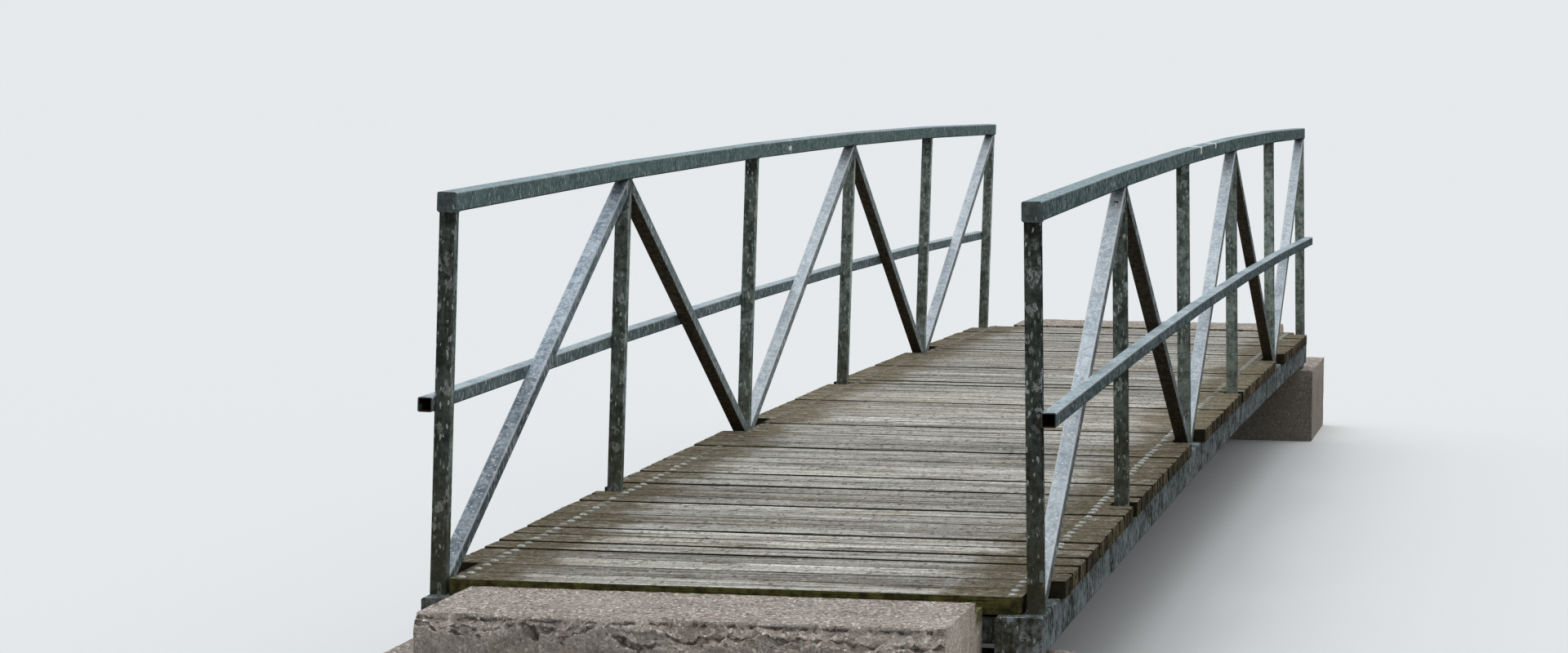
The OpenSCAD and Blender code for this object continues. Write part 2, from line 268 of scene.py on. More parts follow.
def steel(name, dark, light, fleck, flecks=0.93, fleck_size=150, patches=0.0, spangle=0.25,
          stain=0.0, along=(1, 1, 1), under=0.75, side=1.0, side_left=None, front=1.0, front_brown_shade=0.0,
          far=None, fade=None, tint=None, edges=0.0, heads=1.0, vent=False, bore=False):
    """Weathered hot-dip galvanised steel, in clouds from a dark to a light colour.

    fleck, flecks, fleck_size: colour of the small pale flecks, the share of the surface's
        cells without one, and how fine they are
    patches: strength of the larger patches where the patina has flaked off
    spangle, along: contrast of the zinc's crystals, and scale of the streaks on each axis
    side, side_left, tint: painted shade and light on the upright faces along the bridge, its
        value in the left frame, and the painted green reflection on them
    front, dust: painted shade on the faces across the bridge, and the brown painted shade on them
    under, stain: dirt and painted shade on faces that look down, and olive stains low down
    edges, heads: painted highlight on upper edges, and painted shade and dirt below the handrail
    far: painted light, as tones at the near and far end, each for the right and the left frame
    fade: tone along a single brace, as two places and the tone at each
    vent, bore: whether there is a drain hole, or rust behind open ends
    """
    look = Look(name, roughness=0.65, specular=0.0)
    nx, ny, nz = look.facing()
    place = look.place()
    x, y, z = place

    def frames(right, left):
        return look.line(y, -0.1, 0.1, right, left)

    clouds = look.noise(9, 4, 0.6)
    blots = look.noise(38, 4, 0.7)
    fine = look.noise(260, 3, 0.7)
    runs = look.noise(90, 3, 0.65, look.stretched(along))
    _, cell, _ = look.cells(85)
    _, spot, chance = look.cells(fleck_size, look.stretched((1.3, 1.3, 0.45)))
    blend = look.add(look.mul(clouds, 0.6), look.mul(runs, 0.5), look.mul(blots, 0.7))
    colour = look.mix(look.ramp(blend, 0.72, 1.08), srgb(*dark), srgb(*light))
    shade = look.add(1 - spangle / 2, look.mul(cell, spangle))
    shade = look.mul(shade, look.line(fine, 0.3, 0.7, 0.74, 1.26))
    # Painted shade and light: the upright faces along and across the bridge get their own tones
    sideways = look.ramp(look.abs(ny), 0.55, 0.85)
    endways = look.ramp(look.abs(nx), 0.55, 0.85)
    if side_left is not None:
        side = frames(side, side_left)
    if side != 1.0:
        shade = look.mul(shade, look.line(sideways, 0.0, 1.0, 1.0, side))
    if front != 1.0:
        shade = look.mul(shade, look.line(endways, 0.0, 1.0, 1.0, front))
        chance = look.sub(chance, look.mul(endways, 0.10))
    # Painted light and shade along the bridge, lighter towards the far end
    if far:
        near_end, far_end = far
        shade = look.mul(shade, look.line(x, -6.0, 4.0, frames(*near_end), frames(*far_end)))
    if fade:
        shade = look.mul(shade, look.ramp(x, *fade))
    # Painted shade and dirt just below the handrail
    if heads != 1.0:
        shade = look.mul(shade, look.ramp(z, 1.62, 1.71, 1.0, heads))
    colour = look.times(colour, shade)
    # A painted green reflection on the upright faces along the bridge
    if tint:
        colour = look.mix(sideways, colour, tint, "MULTIPLY")
    # Brown painted shade on the faces across the bridge
    if front_brown_shade:
        brown = look.mix(look.ramp(blots, 0.35, 0.65), srgb(64, 62, 50), srgb(106, 104, 90))
        colour = look.mix(look.mul(endways, front_brown_shade), colour, brown)
    # Small flecks in the zinc, and angular patches where its patina has flaked
    bright = look.mul(look.ramp(chance, flecks, flecks + 0.01),
                      look.ramp(spot, 0.0, 1.0, 0.35, 0.9))
    if patches:
        _, strength, flaked = look.cells(44, look.stretched((1, 1, 0.75), (3, 1, 7)))
        ragged = look.ramp(look.noise(95, 4, 0.75), 0.44, 0.50)
        flaked = look.mul(look.ramp(flaked, 0.84, 0.85), ragged,
                          look.ramp(strength, 0.0, 1.0, 0.25, 0.9))
        bright = look.max(bright, look.mul(flaked, patches))
    # A painted highlight along the upper rounded edges
    if edges:
        wear_and_highlight = look.mul(look.ramp(look.abs(ny), 0.12, 0.30), look.ramp(nz, 0.08, 0.25))
        bright = look.max(bright, look.mul(wear_and_highlight, edges))
    colour = look.mix(bright, colour, srgb(*fleck))
    # Dirt and painted shade on the faces that look down
    below = look.ramp(nz, -0.15, -0.5)
    grime_and_shade = look.mix(look.ramp(look.noise(45, 4, 0.65), 0.35, 0.65), srgb(49, 43, 34),
                     srgb(85, 76, 61))
    colour = look.mix(look.mul(below, under), colour, grime_and_shade)
    if stain:
        low = look.ramp(look.add(z, look.mul(clouds, 0.5)), 1.35, 0.85)
        algae = look.mix(look.noise(70, 3), srgb(62, 60, 40), srgb(104, 98, 70))
        colour = look.mix(look.mul(low, stain), colour, algae)
    if vent:
        colour = with_vent(look, colour, place, nz)
    if bore:
        colour = with_bore(look, colour, place)
    height = look.add(look.mul(cell, 0.25), look.mul(fine, 0.5), look.mul(bright, 0.6))
    rough = look.add(look.ramp(clouds, 0.3, 0.7, 0.55, 0.68), look.mul(below, 0.2))
    return look.finish(colour, height, 0.3, 0.0014, rough)


def with_vent(look, colour, place, up):
    """The colour with a drain hole near the brace's head, and the run of zinc below it."""
    radius_squared = 0.000055
    run_half_width, run_middle, run_half_length = 0.0026, 0.019, 0.016
    dx, dy, dz = (look.sub(a, b) for a, b in zip(place, VENT))
    down = look.add(look.mul(dx, VENT_DOWN[0]), look.mul(dz, VENT_DOWN[1]))
    around = look.add(look.math("POWER", down, 2.0), look.math("POWER", dy, 2.0))
    hole = look.mul(look.less(around, radius_squared), look.more(up, 0.5))
    run = look.mul(look.less(look.abs(dy), run_half_width),
                   look.less(look.abs(look.sub(down, run_middle)), run_half_length))
    # The hole's dark inside is painted shade
    colour = look.mix(hole, colour, srgb(20, 18, 14))
    return look.mix(run, colour, srgb(226, 222, 206))


def with_bore(look, colour, place):
    """The colour with the rusty bore behind the open ends of the mid rails."""
    half_wide, half_high, starts = 0.0190, 0.0200, 5.95
    x, y, z = place
    middle = DECK + MID_RAIL_TOP - MID_RAIL / 2
    deep = look.mul(look.less(look.abs(look.sub(look.abs(y), MID_RAIL_Y)), half_wide),
                    look.less(look.abs(look.sub(z, middle)), half_high),
                    look.more(look.abs(x), starts))
    rust = look.mix(look.noise(90, 3), srgb(44, 30, 24), srgb(104, 62, 40))
    return look.mix(deep, colour, rust)


def timber():
    """Silver-grey weathered planks: streaks and thin cracks along them, specks of dirt, moss
    along the sides of the deck, dark cracked ends, and side faces that stay damp."""
    look = Look("deck_timber", roughness=0.9, specular=0.05)
    x, y, _ = look.place()
    nx, ny, nz = look.facing()
    tone = look.attribute("tone")
    rim = look.attribute("rim")
    seed = look.attribute("seed")
    shift = look.mul(seed, 37.0)
    offset = look.node("ShaderNodeCombineXYZ", {"X": shift, "Y": shift}).outputs[0]
    moved = look.node("ShaderNodeVectorMath", {0: look.coordinates, 1: offset}).outputs[0]

    def grain(across, along, detail=3, rough=0.6):
        vector = look.node("ShaderNodeMapping", {"Vector": moved,
                                                 "Scale": (across, along, across)}).outputs[0]
        return look.noise(1, detail, rough, vector, 0.15)

    wide = grain(15, 0.6)
    streak = grain(38, 1.6, 4, 0.7)
    thread = grain(170, 7, 3, 0.7)
    blotch = look.noise(7, 4, 0.65)
    mottle = look.noise(1, 4, 0.75, look.stretched((42, 62, 50)))
    speck = look.noise(1, 3, 0.8, look.stretched((85, 190, 150)))
    colour = look.mix(look.ramp(wide, 0.32, 0.66), srgb(142, 136, 125), srgb(188, 187, 180))
    colour = look.mix(look.mul(look.ramp(blotch, 0.46, 0.70), 0.4), colour, srgb(138, 127, 110))
    shade = look.mul(tone, look.line(streak, 0.28, 0.72, 0.72, 1.27))
    for layer, low, high in ((thread, 0.84, 1.16), (mottle, 0.62, 1.38), (speck, 0.50, 1.52)):
        shade = look.mul(shade, look.line(layer, 0.3, 0.7, low, high))
    shade = look.mul(shade, look.ramp(x, -0.5, 5.0, 1.0, 1.13))
    colour = look.times(colour, shade)
    crack = drying_cracks(look, grain)
    colour = look.mix(look.mul(crack, 0.9), colour, srgb(44, 38, 30))
    # Dark crumbs and pale specks, and dirt held along the planks' edges
    _, crumb, pale = look.cells(1, look.stretched((34, 78, 60)))
    crumb = look.mul(look.ramp(crumb, 0.925, 0.935), look.ramp(speck, 0.40, 0.55))
    colour = look.mix(look.mul(crumb, 0.75), colour, srgb(56, 47, 34))
    pale = look.mul(look.ramp(pale, 0.93, 0.94), look.ramp(speck, 0.42, 0.58))
    colour = look.mix(look.mul(pale, 0.6), colour, srgb(206, 202, 190))
    held = look.mul(look.ramp(rim, 0.30, 0.95),
                    look.ramp(grain(8, 2.5, 4, 0.7), 0.30, 0.60, 0.45, 1.0))
    colour = look.mix(look.mul(held, 0.85), colour, srgb(52, 47, 36))
    dirty, moss = deck_moss(look, x, y, speck)
    colour = look.mix(dirty, colour, moss)
    ends = look.ramp(look.abs(ny), 0.5, 0.8)
    colour = look.mix(ends, colour, end_grain(look, seed))
    # The damp faces between and below the planks, with green moss on the deck's two end faces
    damp = look.max(look.ramp(look.abs(nx), 0.5, 0.8), look.ramp(nz, -0.3, -0.7))
    outer = look.ramp(look.abs(x), DECK_END - 0.02, DECK_END - 0.01)
    wet = look.mix(look.noise(50, 3), srgb(34, 31, 22), srgb(66, 62, 46))
    green = look.mix(look.ramp(look.noise(28, 4, 0.7), 0.35, 0.65), srgb(64, 58, 38),
                     srgb(106, 104, 60))
    colour = look.mix(damp, colour, look.mix(outer, wet, green))
    height = look.add(look.mul(streak, 0.8), look.mul(thread, 0.4), look.mul(mottle, 0.6))
    height = look.add(look.sub(height, look.mul(crack, 1.1)), look.mul(dirty, 0.35))
    return look.finish(colour, height, 0.7, 0.004, look.ramp(streak, 0.2, 0.8, 0.84, 0.95))


def drying_cracks(look, grain):
    """Thin lines of differing length along the grain."""
    crack = look.mul(look.ramp(grain(150, 3.0, 2, 0.5), 0.38, 0.32),
                     look.ramp(grain(6, 3.5, 2), 0.40, 0.60), 0.8)
    for across, along, width, low in ((30, 0.55, 0.020, 0.44), (52, 0.9, 0.030, 0.50)):
        line = look.abs(look.sub(grain(across, along, 2, 0.5), 0.5))
        line = look.mul(look.ramp(line, width, width * 0.3),
                        look.ramp(grain(across / 5, 1.8, 2), low, low + 0.10))
        crack = look.max(crack, line)
    return crack


def deck_moss(look, x, y, speck):
    """How much moss and dirt there is, along both sides of the deck and wider towards the near
    end, and its colour."""
    edge = look.add(look.abs(y), look.line(look.noise(5, 5, 0.7), 0.25, 0.75, -0.15, 0.15))
    edge = look.add(edge, look.ramp(x, -2.5, -6.0, 0.0, 0.07))
    band = look.ramp(edge, 0.60, 0.80)
    patchy = look.ramp(look.noise(26, 5, 0.7), 0.28, 0.54, 0.35, 1.0)
    moss = look.mix(look.ramp(look.noise(80, 4, 0.7), 0.35, 0.65), srgb(66, 59, 42),
                    srgb(120, 110, 88))
    moss = look.mix(look.mul(look.ramp(look.noise(12, 4), 0.54, 0.70), 0.45), moss,
                    srgb(90, 94, 48))
    moss = look.times(moss, look.line(speck, 0.3, 0.7, 0.55, 1.45))
    moss = look.times(moss, look.ramp(x, -2.3, -0.4, 1.0, 1.45))
    moss = look.times(moss, look.ramp(x, 1.0, 3.8, 1.0, 0.88))
    return look.mul(band, patchy, 0.93), moss


def end_grain(look, seed):
    """The planks' ends with their pores and cracks, darker on some planks than on others."""
    pores = look.noise(1, 4, 0.75, look.stretched((150, 60, 48)))
    split = look.ramp(look.noise(1, 2, 0.5, look.stretched((75, 40, 7))), 0.50, 0.45)
    wood = look.mix(look.ramp(pores, 0.40, 0.66), srgb(40, 33, 20), srgb(164, 148, 108))
    wood = look.times(wood, look.ramp(seed, 0.0, 1.0, 0.45, 1.20))
    return look.mix(split, wood, srgb(10, 8, 5))


def concrete():
    """Old exposed-aggregate concrete, with moss in the rebate behind the sill."""
    look = Look("abutment_concrete", roughness=0.92, specular=0.05)
    x, _, z = look.place()
    _, _, nz = look.facing()
    clouds = look.noise(3.5, 5, 0.65)
    sand = look.noise(1, 3, 0.8, look.stretched((110, 240, 200)))
    upright = look.ramp(look.abs(nz), 0.75, 0.35)
    level = look.sub(1.0, look.mul(upright, 0.55))
    gap, stone, other = look.cells(100)
    _, big, kind = look.cells(1, look.stretched((64, 130, 95)))
    colour = look.mix(look.ramp(clouds, 0.3, 0.7), srgb(150, 140, 131), srgb(180, 172, 163))
    pebble = look.mix(stone, srgb(92, 82, 74), srgb(216, 206, 196))
    pebble = look.mix(look.ramp(other, 0.72, 0.76), pebble, srgb(176, 156, 146))
    pebble = look.mix(look.ramp(other, 0.12, 0.09), pebble, srgb(242, 238, 230))
    show = look.mul(look.ramp(gap, 0.50, 0.42), look.ramp(big, 0.2, 0.3, 0.45, 0.9))
    colour = look.mix(look.mul(show, level), colour, pebble)
    for chosen, grit in ((look.ramp(kind, 0.93, 0.94, 0.0, 0.65), srgb(238, 234, 226)),
                         (look.ramp(kind, 0.10, 0.09, 0.0, 0.65), srgb(88, 78, 68))):
        colour = look.mix(look.mul(chosen, level), colour, grit)
    colour = look.times(colour, look.line(sand, 0.3, 0.7, 0.58, 1.40))
    colour = look.times(colour, look.line(look.noise(24, 5, 0.75), 0.3, 0.7, 0.84, 1.14))
    stain = look.ramp(look.noise(7, 5, 0.7), 0.54, 0.74)
    colour = look.mix(look.mul(stain, 0.30), colour, srgb(112, 102, 84))
    # Painted light on the upright faces, which are made paler, with damp and algae low on them
    colour = look.times(colour, look.line(upright, 0.0, 1.0, 1.0, 1.75))
    low = look.ramp(z, 0.56, 0.25, 0.05, 1.0)
    algae = look.mul(upright, low, look.ramp(clouds, 0.25, 0.75, 0.25, 0.65))
    colour = look.mix(algae, colour, srgb(106, 100, 80))
    # Painted shade in the crevices of the broken edge
    crevice_shade = look.mul(look.ramp(look.attribute("broken"), 0.25, 0.8),
                       look.ramp(look.noise(16, 4, 0.7), 0.42, 0.54, 0.0, 0.85))
    colour = look.mix(crevice_shade, colour, srgb(52, 45, 36))
    # Moss in the rebate, with an uneven outline
    strip = look.abs(look.sub(look.abs(x), REBATE_MIDDLE))
    strip = look.add(strip, look.line(look.noise(30, 4, 0.7), 0.3, 0.7, -0.03, 0.03))
    mossy = look.mul(look.ramp(strip, 0.09, 0.07), look.ramp(z, 0.50, 0.54))
    green = look.mix(look.ramp(look.noise(150, 3, 0.7), 0.35, 0.65), srgb(78, 78, 42),
                     srgb(126, 124, 70))
    green = look.mix(look.ramp(look.noise(22, 4), 0.5, 0.64), green, srgb(98, 84, 60))
    colour = look.mix(look.mul(mossy, 0.9), colour, green)
    height = look.add(look.mul(show, 0.6), look.mul(sand, 0.6),
                      look.mul(look.noise(150, 3), mossy))
    return look.finish(colour, height, 0.8, 0.005)


def bolt_steel():
    look = Look("bolt_steel", roughness=0.5, metallic=0.2, specular=0.15)
    tone = look.attribute("tone")
    speck = look.noise(220, 3, 0.6)
    colour = look.mix(look.ramp(speck, 0.35, 0.65), srgb(150, 150, 144), srgb(216, 217, 213))
    colour = look.mix(look.sub(1.0, tone), colour, srgb(96, 86, 66))
    return look.finish(colour, speck, 0.3, 0.0006)


def weld_steel():
    look = Look("weld_steel", roughness=0.6, metallic=0.2, specular=0.25)
    speck = look.noise(300, 3, 0.6)
    ripple = look.noise(1, 2, 0.5, look.stretched((300, 300, 300)))
    colour = look.mix(look.ramp(speck, 0.35, 0.65), srgb(86, 92, 90), srgb(138, 146, 146))
    return look.finish(colour, ripple, 0.4, 0.0008)


def zinc_run():
    """The pale, dried runs across the handrails."""
    look = Look("pale_runs", roughness=0.8, specular=0.1)
    speck = look.noise(260, 3, 0.6)
    colour = look.mix(look.ramp(speck, 0.35, 0.65), srgb(232, 236, 235), srgb(252, 252, 250))
    return look.finish(colour, speck, 0.3, 0.0006)


# Pieces


def piece(name, bm, material, slot, *nodes, sharp=None):
    """A smooth piece in the frame's own coordinates, in place of the CAD nodes named. Where an
    angle is given, edges that turn by more degrees than that stay sharp."""
    mesh = bpy.data.meshes.new(name)
    bm.to_mesh(mesh)
    bm.free()
    mesh.shade_smooth()
    if sharp is not None:
        mesh.set_sharp_from_angle(angle=math.radians(sharp))
    mesh.materials.append(material)
    made = bpy.data.objects.new(name, mesh)
    bpy.context.scene.collection.objects.link(made)
    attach(made, "root")
    if nodes:
        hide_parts(*nodes)


def clamp(value, low, high):
    return min(max(value, low), high)


def cut(bm, at, normal):
    """New edges where a plane crosses the mesh."""
    bmesh.ops.bisect_plane(bm, geom=bm.verts[:] + bm.edges[:] + bm.faces[:], plane_co=at,
                           plane_no=normal, dist=0.0004)


def post_x(i):
    return i * BAY - SPAN / 2


def post_rise(i):
    return CAMBER * (1 - (2 * i / BAYS - 1) ** 2)


def deck_z(x):
    """The level of the deck's top, which runs straight from post to post."""
    i = clamp(int((x + SPAN / 2) // BAY), 0, BAYS - 1)
    t = clamp((x - post_x(i)) / BAY, 0, 1)
    return DECK + post_rise(i) + (post_rise(i + 1) - post_rise(i)) * t


def plank_table():
    """Each plank as its bay, its two edges along the deck, and whether it is short."""
    rows = []
    for i in range(BAYS):
        start = post_x(i) - (OVERHANG if i == 0 else 0)
        end = post_x(i + 1) + (OVERHANG if i == BAYS - 1 else 0)
        count = PLANKS_IN_END_BAY if i in (0, BAYS - 1) else PLANKS
        pitch = (end - start) / count
        for k in range(count):
            if i % 2 == 0:
                short = k < 2 or (i == BAYS - 1 and k == count - 1)
            else:
                short = k == count - 1
            rows.append((i, start + k * pitch, start + (k + 1) * pitch, short))
    return rows


def plank_outline(x0, x1, short, i):
    """The plank's plan, counter-clockwise, with the cuts around the posts and braces."""
    half, inner = PLANK_LONG / 2, PLANK_SHORT / 2
    if short:
        return [(x0, -inner), (x1, -inner), (x1, inner), (x0, inner)]
    notches = []
    for j in (i, i + 1):
        if j % 2 == 1:
            a = max(post_x(j) - NOTCH_BEFORE, x0)
            b = min(post_x(j) + NOTCH_AFTER, x1)
            if b - a > 0.001:
                notches.append((a, b))
    side = []
    at = x0
    for a, b in sorted(notches):
        if a > at + 0.001:
            side += [(at, half), (a, half)]
        side += [(a, inner), (b, inner)]
        at = b
    if at < x1 - 0.001:
        side += [(at, half), (x1, half)]
    clean = []
    for p in side:
        if not clean or (abs(clean[-1][0] - p[0]) + abs(clean[-1][1] - p[1])) > 0.0005:
            clean.append(p)
    return [(x, -y) for x, y in clean] + [(x, y) for x, y in reversed(clean)]


def plank_settings():
    """Every plank's own gap after it, how far its two edges lie below the CAD's level, its tone
    and seed. Where a plank's edge stands above the one before it, it shows as a dark line."""
    rng = random.Random(7)
    raised = {4, 5, 7, 11, 14, 16, 21, 26, 32, 37, 38, 43, 50, 55, 59}
    # The tones of the first planks, and the factors of the paler ones after them
    tones = [1.10, 0.78, 1.30, 0.84, 1.00, 1.38, 1.18, 0.96, 0.93, 0.94, 1.44, 0.94, 0.87, 0.92,
             1.00, 1.15]
    paler = {16: 1.30, 17: 1.15, 33: 1.20, 34: 1.15}
    paler.update((k, 1.33) for k in range(25, 33))
    made = []
    far = 0.0012
    for k, (i, a, b, short) in enumerate(plank_table()):
        if k in raised:
            near = rng.uniform(0.0002, 0.0007)
        else:
            near = clamp(far + rng.uniform(-0.0008, 0.0004), 0.0002, 0.0030)
        if k + 1 in raised:
            far = rng.uniform(0.0036, 0.0044)
            gap = 0.009
        else:
            far = clamp(near + rng.uniform(-0.0004, 0.0010), 0.0004, 0.0030)
            gap = rng.choice((0.0025, 0.0040, 0.0055, 0.0070))
        tone = tones[k] if k < len(tones) else rng.uniform(0.86, 1.13)
        tone *= paler.get(k, 1.0)
        made.append({"bay": i, "from": a, "to": b, "short": short, "gap": gap, "near": near,
                     "far": far, "tone": tone, "seed": rng.random(), "number": k})
    return made


def make_planks(material, settings):
    """The planks of each bay as one piece. Every vertex holds its plank's tone and seed, and
    how near it lies to the plank's edge."""
    first_gap, widest = 0.0030, 0.0045
    for i in range(BAYS):
        bay = bmesh.new()
        layers = {name: bay.verts.layers.float.new(name) for name in ("tone", "seed", "rim")}
        for plank in (p for p in settings if p["bay"] == i):
            k = plank["number"]
            before = settings[k - 1]["gap"] / 2 if k else first_gap
            x0 = plank["from"] + min(before, widest)
            x1 = plank["to"] - min(plank["gap"] / 2, widest)
            one, rims = make_plank(x0, x1, plank, random.Random(100 + k))
            mesh = bpy.data.meshes.new("plank")
            one.to_mesh(mesh)
            one.free()
            first = len(bay.verts)
            bay.from_mesh(mesh)
            bpy.data.meshes.remove(mesh)
            bay.verts.ensure_lookup_table()
            for v, rim in zip(bay.verts[first:], rims):
                v[layers["tone"]] = plank["tone"]
                v[layers["seed"]] = plank["seed"]
                v[layers["rim"]] = rim
        piece(f"deck_planks_{i + 1}", bay, material, "deck_timber", f"deck_bay_{i + 1}", sharp=24)


def plank_block(x0, x1, plank, rng):
    """A plank's plan drawn up, its edges rounded, and cut into a fine grid."""
    bm = bmesh.new()
    outline = plank_outline(x0, x1, plank["short"], plank["bay"])
    face = bm.faces.new([bm.verts.new((x, y, -PLANK_THICK)) for x, y in outline])
    bm.normal_update()
    if face.normal.z > 0:
        face.normal_flip()
    top = bmesh.ops.extrude_face_region(bm, geom=[face])
    for v in [g for g in top["geom"] if isinstance(g, bmesh.types.BMVert)]:
        v.co.z = 0.0
    bmesh.ops.recalc_face_normals(bm, faces=bm.faces)
    bmesh.ops.bevel(bm, geom=list(bm.edges), offset=0.0040 + 0.0015 * rng.random(),
                    segments=2, profile=0.6, affect="EDGES", clamp_overlap=True)
    step = 0.04
    for n in range(1, round(PLANK_LONG / step)):
        cut(bm, (0, -PLANK_LONG / 2 + n * step, 0), (0, 1, 0))
    for y in (-0.948, -0.936, 0.936, 0.948):
        cut(bm, (0, y, 0), (0, 1, 0))
    middle, half = (x0 + x1) / 2, (x1 - x0) / 2
    for part in (-0.90, -0.72, -0.48, -0.24, 0.0, 0.24, 0.48, 0.72, 0.90):
        cut(bm, (middle + half * part, 0, 0), (1, 0, 0))
    return bm


def make_plank(x0, x1, plank, rng):
    """One worn plank, and for each vertex how near it lies to the long edges."""
    bm = plank_block(x0, x1, plank, rng)
    middle, half = (x0 + x1) / 2, (x1 - x0) / 2
    limit = (PLANK_SHORT if plank["short"] else PLANK_LONG) / 2
    end_reach, rim_starts = 0.060, 0.86
    cup = 0.0010 * rng.random()
    skew = (rng.random() - 0.5) * 0.0012
    offset = Vector((plank["number"] * 3.7, plank["number"] * 1.3, 0))
    rims = []
    for v in bm.verts:
        x, y, z = v.co
        across = (x - middle) / half
        near_top = 1 if z > -PLANK_THICK / 2 else 0.3
        wave = noise.noise(Vector((x * 9, y * 2.2, 0)) + offset)
        ripple = noise.noise(Vector((x * 60, y * 9, 3)) + offset)
        dip = plank["near"] + (plank["far"] - plank["near"]) * (across + 1) / 2
        dip += cup * (1 - across * across)
        dip += 0.0006 * (1 + wave) + 0.0004 * (1 + ripple) + skew * (y / PLANK_LONG + 0.5)
        dip = max(dip, 0.0)
        # The edges wear in and out along the plank, and its corners rot away
        wear_and_highlight = noise.noise(Vector((across * 2, y * 5, z * 12)) + offset * 2)
        nick = max(0.0, noise.noise(Vector((across * 3, y * 24, 9)) + offset) - 0.35)
        rim = max(0.0, abs(across) - rim_starts) / 0.14
        end = min(max(0.0, abs(y) - (limit - end_reach)) / end_reach, 1)
        corner = Vector((math.copysign(7, across), math.copysign(5, y), z * 9))
        decay = noise.noise(offset * 3 + corner)
        rot = end * end * (0.0045 + 0.0120 * max(0.0, decay + 0.25))
        v.co.x -= math.copysign((0.0010 * (1 + wear_and_highlight) + 0.004 * nick + rot) * rim, across)
        v.co.y -= math.copysign((0.0020 * (1 + wear_and_highlight) + 0.008 * rim) * end, y)
        v.co.z = deck_z(clamp(x, x0, x1)) + z - dip * near_top - 0.002 * nick * rim * near_top
        rims.append(min(rim, 1.0))
    return bm, rims


def make_bolts(material, settings):
    """Two round-headed bolts in each plank end."""
    rng = random.Random(21)
    scatter = 0.004
    for side, name in ((1, "left"), (-1, "right")):
        bm = bmesh.new()
        layer = bm.verts.layers.float.new("tone")
        for plank in settings:
            for part in (0.25, 0.75):
                x = plank["from"] + (plank["to"] - plank["from"]) * part
                x += rng.uniform(-scatter, scatter)
                y = side * (BOLT_Y + rng.uniform(-scatter, scatter))
                z = deck_z(x) - plank["near"] * (1 - part) - plank["far"] * part - BOLT_SINK
                tone = 1.0 if rng.random() > 0.3 else rng.uniform(0.3, 0.7)
                if x > (-2.5 if side > 0 else 0.5):
                    # Less trodden here, so the dirt stays on the heads
                    tone *= 0.35 if side > 0 else 0.6
                for v in make_bolt(bm, x, y, z):
                    v[layer] = tone
        piece(f"deck_bolts_{name}", bm, material, "side_frame_steel", sharp=50)


def make_bolt(bm, x, y, z):
    """A domed head turned from the bolts' profile. Its vertices are returned."""
    turns = 20
    rings = []
    for r, h in BOLT_PROFILE:
        rings.append([bm.verts.new((x + r * math.cos(t), y + r * math.sin(t), z + h))
                      for t in (2 * math.pi * n / turns for n in range(turns))])
    crown = bm.verts.new((x, y, z + BOLT_TOP))
    for low, high in zip(rings, rings[1:]):
        for n in range(turns):
            m = (n + 1) % turns
            bm.faces.new((low[n], low[m], high[m], high[n]))
    for n in range(turns):
        bm.faces.new((rings[-1][n], rings[-1][(n + 1) % turns], crown))
    bm.faces.new(list(reversed(rings[0])))
    return [crown] + [v for ring in rings for v in ring]


def levels(start, stop, fine_from, coarse, fine):
    """Places from start to stop, closer together beyond fine_from."""
    places, at = [], start
    way = 1 if stop > start else -1
    while (stop - at) * way > fine:
        at += way * (fine if (at - fine_from) * way > 0 else coarse)
        places.append(at)
    return places[:-1]


def make_abutment(node, end, material):
    """The abutment with a rough cast skin, broken along its outer top edge."""
    low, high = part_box(node)
    bm = bmesh.new()
    bm.from_mesh(NODES[node].data)
    bmesh.ops.remove_doubles(bm, verts=bm.verts, dist=0.0001)
    bmesh.ops.dissolve_limit(bm, angle_limit=math.radians(1), verts=bm.verts, edges=bm.edges)
    outer = high.x if end > 0 else low.x
    inner = low.x if end > 0 else high.x
    coarse, even, fine = 0.045, 0.010, 0.008
    for x in levels(inner, outer, outer - end * 0.12, coarse, fine):
        cut(bm, (x, 0, 0), (1, 0, 0))
    for z in levels(low.z, high.z, high.z - 0.11, coarse, fine):
        cut(bm, (0, 0, z), (0, 0, 1))
    for y in levels(low.y, high.y, high.y, even, even):
        cut(bm, (0, y, 0), (0, 1, 0))
    bm.normal_update()
    layer = bm.verts.layers.float.new("broken")
    shift = Vector((0, 0, 0)) if end < 0 else Vector((40, 11, 5))
    moved = {}
    for v in bm.verts:
        p = v.co
        big, mid, small, tiny = (noise.noise(p * scale + shift) for scale in (2.6, 11, 42, 120))
        depth = 0.0012 * (1 + mid) + 0.0010 * (1 + small) + 0.0006 * (1 + tiny)
        # How deep in the lost corner of the outer top edge, whose break starts with a step
        drop, back = high.z - p.z, abs(outer - p.x)
        reach = 0.038 + 0.050 * max(0.0, big + 0.25) + 0.026 * mid + 0.012 * small + 0.005 * tiny
        lost = reach - (drop * 0.75 + back)
        push = Vector((0, 0, 0))
        if lost > 0:
            fade = max(0.0, 1 - drop * 0.75 / reach)
            step = min(lost / 0.008, 1) * (0.008 + 0.004 * mid + 0.003 * small) * fade
            rough = min(lost / 0.02, 1) * (0.004 * mid + 0.006 * small + 0.003 * tiny)
            go = max(lost * 0.60 + step + rough, 0.0)
            push = Vector((-end * go * 0.75, 0, -go))
        if back < 0.004 and drop > 0.004:
            push.x -= end * (0.003 * (1 + big) + 0.003 * (1 + mid) + 0.0025 * (1 + small))
        moved[v] = p - v.normal * depth + push
        v[layer] = max(0.0, 1 - abs(lost - 0.010) / 0.012)
    for v, place in moved.items():
        v.co = [clamp(place[axis], low[axis], high[axis]) for axis in range(3)]
    piece(f"{node}_cast", bm, material, "abutment_concrete", node, sharp=40)


